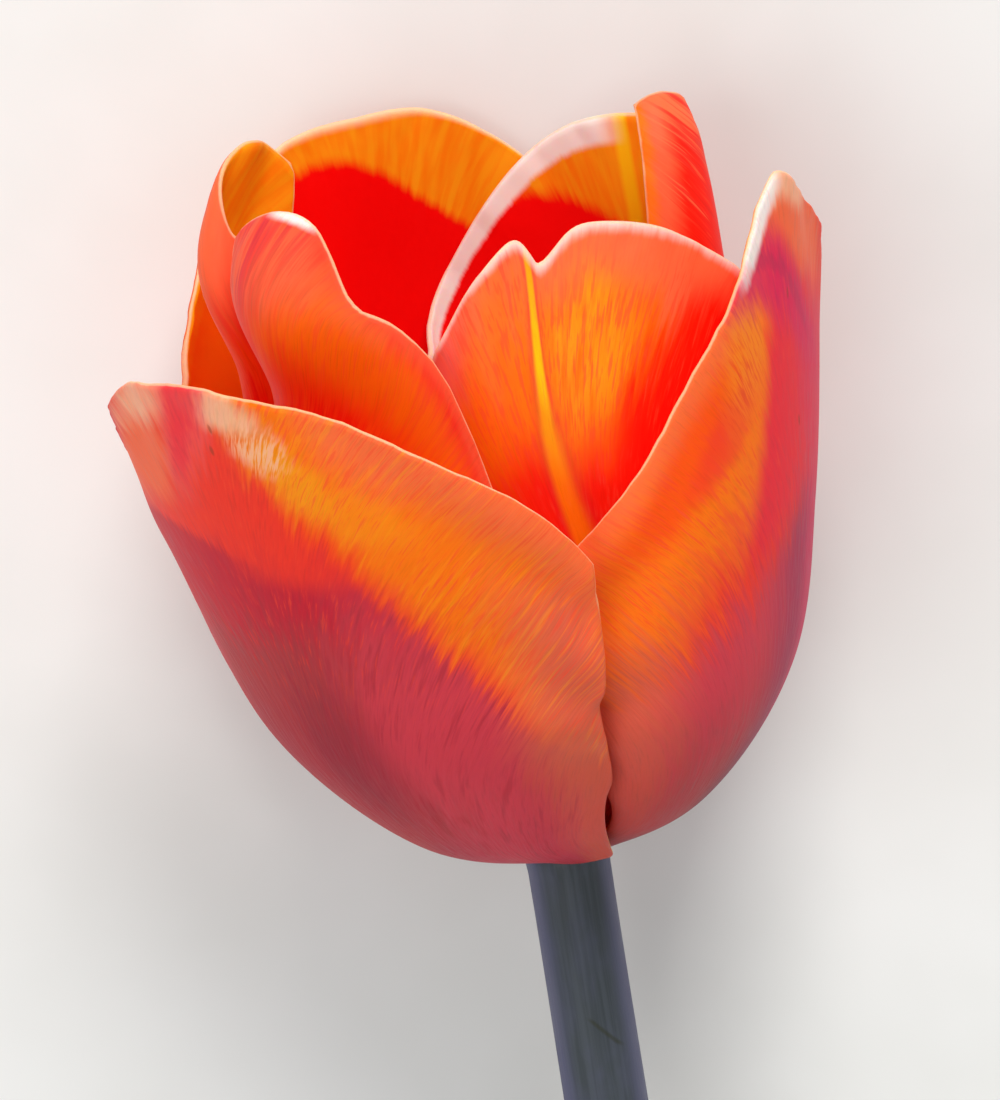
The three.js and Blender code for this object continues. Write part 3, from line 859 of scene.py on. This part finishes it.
def inner_left_look():
    """Coral at the margins and at the tip, scarlet below, its groove edged with a paler line; that line and
    the pale tip are painted highlights.
    """
    p = Petal("tepal_inner_left")
    colour = p.flame([
        (0, MAROON), (0.35, CRIMSON), (0.65, SCARLET), (0.8, SCARLET),
        (0.87, VERMILION), (0.95, CORAL_RED), (1, CORAL_RED),
    ])
    colour = p.over(colour, ORANGE, p.spot(0.5, 0.92, 0.24, 0.06), share=0.8)
    colour = p.over(colour, ROSE, p.spot(0.3, 0.965, 0.16, 0.04), share=0.5)
    colour = p.over(colour, CORAL, p.spot(0.3, 0.965, 0.22, 0.05), p.ramp(p.streaks, 0.4, 0.6), share=0.7)
    colour = p.over(colour, CORAL_RED, p.ramp(p.fine, 0.5, 0.64), p.ramp(p.u, 0.8, 0.9), share=0.4)
    colour = p.over(colour, CORAL, p.by_margin(3, 2, 1.5), p.ramp(p.v, 0.4, 0.6), share=0.5)
    # painted highlights: a pale line beside the groove and a pale spot at the tip
    colour = p.over(colour, PEACH_HIGHLIGHT, p.line(0.1, 0.0, 0.035), p.ramp(p.u, 0.84, 0.92), share=0.6)
    colour = p.over(colour, BLUSH_HIGHLIGHT, p.spot(0.34, 1.0, 0.07, 0.007, 0.4, 0.1), share=0.9)
    colour = p.over(colour, VERMILION, p.ramp(p.v, -0.15, -0.3), p.ramp(p.u, 0.6, 0.8), share=0.6)
    colour = p.over(colour, CORAL, p.spot(-0.25, 0.97, 0.2, 0.06), share=0.8)
    inner = p.inner_face(p.ramp(p.u, 0.84, 0.9))
    return p.finish(colour, inner, 0.16)


def inner_right_look():
    """Half seen from inside, amber over deep red as painted light and shade, with a rolled rim painted pale
    as a highlight, half a folded coral lobe.
    """
    p = Petal("tepal_inner_right")
    colour = p.flame([
        (0, MAROON), (0.35, CRIMSON), (0.65, SCARLET), (0.93, SCARLET), (0.97, CORAL_RED), (1, CORAL),
    ])
    pale_streaks = p.both(p.ramp(p.fine, 0.5, 0.62), p.ramp(p.strayed(p.u, 0.1), 0.92, 0.97))
    colour = p.over(colour, CORAL, pale_streaks, share=0.7)
    colour = p.over(colour, CORAL, p.spot(-0.97, 0.95, 0.12, 0.09), share=0.8)
    colour = p.over(colour, ORANGE, p.spot(-1.0, 0.95, 0.06, 0.07), share=0.9)
    # painted light and shade: the amber band ends in this line above the shaded deep red
    inner = p.inner_face(p.ramp(p.lean(-0.17, 0.006), 0.876, 0.896))
    inner = p.over(inner, YELLOW, p.line(0.03, 0.0, 0.045), p.ramp(p.u, 0.86, 0.9), share=0.95)
    # painted highlight: the rolled rim is painted pale on both faces
    rolled = p.both(p.by_margin(2.6, 0.5, 0.2), p.ramp(p.v, 0.0, 0.15))
    rolled = p.both(rolled, p.ramp(p.u, 0.6, 0.8))
    inner = p.over(inner, BLUSH_HIGHLIGHT, rolled)
    colour = p.over(colour, BLUSH_HIGHLIGHT, rolled)
    return p.finish(colour, inner, 0.2)


def tube_faces(rings, sides):
    """The faces between neighbouring rings of points."""
    faces = []
    for ring in range(rings - 1):
        for i in range(sides):
            a, b = ring * sides + i, ring * sides + (i + 1) % sides
            faces.append([a, b, b + sides, a + sides])
    return faces


def turned(profile, sides, lobes=0, depth=None):
    """Points and faces of a closed shape turned about the Z axis. depth(z) is how deep its lobes are."""
    profile = np.array(profile, float)
    angle = np.linspace(0, 2 * np.pi, sides, endpoint=False)
    rings = profile[1:-1]
    swell = np.ones((len(rings), sides))
    if depth is not None:
        swell += np.array([depth(z) for z in rings[:, 1]])[:, None] * np.cos(lobes * angle)[None]
    x = rings[:, :1] * swell * np.cos(angle)
    y = rings[:, :1] * swell * np.sin(angle)
    z = rings[:, 1:] * np.ones((1, sides))
    points = np.stack([x, y, z], -1).reshape(-1, 3)
    low, high = len(points), len(points) + 1
    points = np.concatenate([points, [[0, 0, profile[0, 1]], [0, 0, profile[-1, 1]]]])
    faces = tube_faces(len(rings), sides)
    top = (len(rings) - 1) * sides
    for i in range(sides):
        j = (i + 1) % sides
        faces.append([low, j, i])
        faces.append([high, top + i, top + j])
    return points, faces


def finer(profile, steps):
    """The same profile with more points between its own."""
    profile = np.array(profile, float)
    gaps = np.hypot(*np.diff(profile, axis=0).T)
    place = np.concatenate([[0], np.cumsum(gaps)])
    fine = np.unique(np.concatenate([place, np.linspace(0, place[-1], steps)]))
    r = np.interp(fine, place, profile[:, 0])
    z = np.interp(fine, place, profile[:, 1])
    return np.stack([r, z], -1)


def make_stem(material):
    profile = finer([
        (0, -STEM_LENGTH),
        (STEM_END_RADIUS - 0.2, -STEM_LENGTH),
        (STEM_END_RADIUS, -STEM_LENGTH + 0.3),
        (4.0, -120),
        (3.95, -80),
        (3.85, -40),
        (STEM_TOP_RADIUS, -8),
        (STEM_TOP_RADIUS, -2),
        (COLLAR_RADIUS, -0.4),
        (COLLAR_RADIUS - 0.1, 0.3),
        (NECK_RADIUS, 1.2),
        (NECK_RADIUS, 2.8),
        (CUSHION_RADIUS, 3.5),
        (CUSHION_RADIUS - 0.1, 3.9),
        (CUSHION_RADIUS - 0.6, CUSHION_TOP),
        (0, CUSHION_TOP),
    ], STEM_ROWS)
    points, faces = turned(profile, STEM_SIDES)
    # shallow ribs and slow swellings along the stem
    angle = np.arctan2(points[:, 1], points[:, 0])
    on_stem = smooth(1, -6, points[:, 2])
    swell = RIB_DEPTH * np.sin(RIBS * angle + RIB_TWIST * points[:, 2])
    swell += SWELL_DEPTH * np.sin(points[:, 2] * SWELL_RATE)
    radius = np.hypot(points[:, 0], points[:, 1])
    scale = 1 + on_stem * swell * (radius > 2) / np.maximum(radius, 1)
    upright = points.copy()
    points[:, 0] *= scale
    points[:, 1] *= scale
    piece = new_piece("stem_fine", laid(points), faces, "stem", material)
    add_vectors(piece, "place", upright)


def stem_material():
    """A slate stem, the waxy bloom painted as a violet sheen along both sides, greener below, and a pale
    cut end.
    """
    n = Nodes("stem")
    x, y, z = n.split(n.vector("place"))
    around = n.join(n.math("MULTIPLY", x, 1.6), n.math("MULTIPLY", y, 1.6), n.math("MULTIPLY", z, 0.05))
    fibres = n.noise(around, 1.0, 5.0, 0.6)
    mottle = n.noise(n.join(x, y, n.math("MULTIPLY", z, 0.4)), 0.35, 3.0)
    colour = n.mix(n.ramp(fibres, 0.35, 0.65), SLATE, PALE_SLATE)
    colour = n.mix(n.ramp(mottle, 0.4, 0.7, 0.0, 0.2), colour, VIOLET)
    # painted sheen: violet along both sides of the stem, where its waxy bloom catches the light
    colour = n.mix(n.ramp(n.math("ABSOLUTE", x), 2.0, 3.7, 0.0, 0.8), colour, VIOLET)
    colour = n.mix(n.ramp(z, GREEN_FROM, GREEN_TO), colour, LEAF_GREEN)
    colour = n.mix(n.ramp(z, 0.1 - STEM_LENGTH, 0.02 - STEM_LENGTH), colour, CUT_GREEN)
    along = n.math("SUBTRACT", z, SCRATCH_HEIGHT)
    aslant = n.math("ADD", n.math("SUBTRACT", x, SCRATCH_ASIDE), n.math("MULTIPLY", along, 0.8))
    scratch = n.math("MULTIPLY", n.ramp(n.math("ABSOLUTE", aslant), 0.4, 0.05), n.ramp(y, 0.0, -1.0))
    scratch = n.math("MULTIPLY", scratch, n.ramp(n.math("ABSOLUTE", along), 1.9, 1.2))
    colour = n.mix(n.math("MULTIPLY", scratch, 0.6), colour, OLIVE)
    n.put(n.shader.inputs["Base Color"], colour)
    n.put(n.shader.inputs["Roughness"], n.ramp(mottle, 0.3, 0.7, 0.45, 0.62))
    n.put(n.shader.inputs["Normal"], n.bump(fibres, 0.0002, 0.4))
    n.shader.inputs["Specular IOR Level"].default_value = 0.25
    return n.material


def inside_material(name, dark, light, roughness):
    """Soft tissue inside the bloom, slightly mottled."""
    n = Nodes(name)
    coordinates = n.tree.nodes.new("ShaderNodeTexCoord").outputs["Object"]
    grain = n.noise(coordinates, 900.0, 4.0)
    n.put(n.shader.inputs["Base Color"], n.mix(n.ramp(grain, 0.35, 0.65), dark, light))
    n.put(n.shader.inputs["Roughness"], n.ramp(grain, 0.3, 0.7, roughness - 0.08, roughness + 0.08))
    n.put(n.shader.inputs["Normal"], n.bump(grain, 0.00025, 0.6))
    return n.material


def make_pistil(material):
    profile = finer([
        (0, 0), (2.1, 0), (2.35, 1.5), (2.9, 5), (3.1, 9), (3.0, 13),
        (2.6, 16.5), (2.2, 18), (2.6, 18.8), (3.3, 19.8), (3.5, 20.8), (2.9, 21.7), (1.5, 22.1), (0, 22),
    ], PISTIL_ROWS)

    def lobe_depth(z):
        return 0.08 + 0.26 * float(smooth(18.0, 18.8, np.array(z)))

    points, faces = turned(profile, PISTIL_SIDES, PISTIL_LOBES, lobe_depth)
    points[:, 2] += PISTIL_FOOT
    new_piece("pistil_fine", laid(points), faces, "pistil", material)


def around(points, number):
    """Points turned to the place of a numbered stamen."""
    angle = (number - 0.5) / STAMENS * 2 * math.pi
    x = points[:, 0] * math.cos(angle) - points[:, 1] * math.sin(angle)
    y = points[:, 0] * math.sin(angle) + points[:, 1] * math.cos(angle)
    return np.stack([x, y, points[:, 2]], -1)


def make_filament(number, material):
    sides = FILAMENT_SIDES
    steps = np.linspace(0, 1, FILAMENT_ROWS)
    x = through([3.45, 4.7, 5.9], steps)
    z = through([CUSHION_TOP + 0.3, CUSHION_TOP + 4, CUSHION_TOP + 10.5], steps)
    radius = FILAMENT_RADIUS - FILAMENT_TAPER * steps**3
    angle = np.linspace(0, 2 * np.pi, sides, endpoint=False)
    points = np.stack([
        x[:, None] + radius[:, None] * np.cos(angle),
        radius[:, None] * np.sin(angle),
        z[:, None] * np.ones((1, sides)),
    ], -1).reshape(-1, 3)
    faces = tube_faces(len(steps), sides)
    faces.append(list(range(sides))[::-1])
    faces.append([(len(steps) - 1) * sides + i for i in range(sides)])
    name = f"filament_{number}"
    new_piece(f"{name}_fine", laid(around(points, number)), faces, name, material)


def make_anther(number, material):
    steps = np.linspace(0, 1, ANTHER_ROWS)
    radius = ANTHER_RADIUS * np.sin(np.pi * steps) ** 0.45
    radius[0] = radius[-1] = 0
    points, faces = turned(np.stack([radius, ANTHER_LENGTH * steps], -1), ANTHER_SIDES, 2, lambda z: 0.22)
    x = points[:, 0] * math.cos(ANTHER_TILT) + points[:, 2] * math.sin(ANTHER_TILT)
    z = -points[:, 0] * math.sin(ANTHER_TILT) + points[:, 2] * math.cos(ANTHER_TILT)
    points = np.stack([x + ANTHER_OUT, points[:, 1], z + ANTHER_FOOT], -1)
    name = f"anther_{number}"
    new_piece(f"{name}_fine", laid(around(points, number)), faces, name, material)


def make_floor():
    x = y = FLOOR_REACH
    z = -FLOOR_DROP
    corners = np.array([(-x, -y, z), (x, -y, z), (x, y, z), (-x, y, z)])
    mesh = bpy.data.meshes.new("floor")
    mesh.from_pydata(corners.tolist(), [], [[0, 1, 2, 3]])
    floor = bpy.data.objects.new("floor", mesh)
    bpy.context.scene.collection.objects.link(floor)
    n = Nodes("floor")
    coordinates = n.tree.nodes.new("ShaderNodeTexCoord").outputs["Object"]
    grain = n.noise(coordinates, 30.0, 3.0)
    n.put(n.shader.inputs["Base Color"], n.mix(n.ramp(grain, 0.3, 0.7), FLOOR_DARK, FLOOR_LIGHT))
    n.shader.inputs["Roughness"].default_value = 0.8
    mesh.materials.append(n.material)


def area_light(name, place, size, energy, colour):
    data = bpy.data.lights.new(name, "AREA")
    data.size = size
    data.energy = energy
    data.color = colour
    light = bpy.data.objects.new(name, data)
    bpy.context.scene.collection.objects.link(light)
    light.location = Vector(LIGHT_TARGET) + Vector(place)
    light.rotation_mode = "QUATERNION"
    light.rotation_quaternion = Vector(place).to_track_quat("Z", "Y")


def make_light():
    bpy.context.scene.view_settings.view_transform = "Standard"
    world = bpy.data.worlds.new("studio")
    bpy.context.scene.world = world
    world.use_nodes = True
    background = world.node_tree.nodes["Background"]
    background.inputs["Color"].default_value = SKY_COLOUR
    background.inputs["Strength"].default_value = SKY_STRENGTH
    for lamp in LAMPS:
        area_light(*lamp)


make_camera()
tepal_looks = [
    outer_left_look, outer_right_look, outer_back_look, inner_front_look, inner_left_look, inner_right_look,
]
for (tepal_name, tepal_shape), tepal_look in zip(TEPALS.items(), tepal_looks):
    make_tepal(tepal_name, tepal_shape, tepal_look())
make_stem(stem_material())
make_pistil(inside_material("pistil", PISTIL_DARK, PISTIL_LIGHT, 0.55))
filament_look = inside_material("filament", FILAMENT_DARK, FILAMENT_LIGHT, 0.5)
anther_look = inside_material("anther", ANTHER_DARK, ANTHER_LIGHT, 0.8)
for stamen in range(1, STAMENS + 1):
    make_filament(stamen, filament_look)
    make_anther(stamen, anther_look)
make_floor()
make_light()
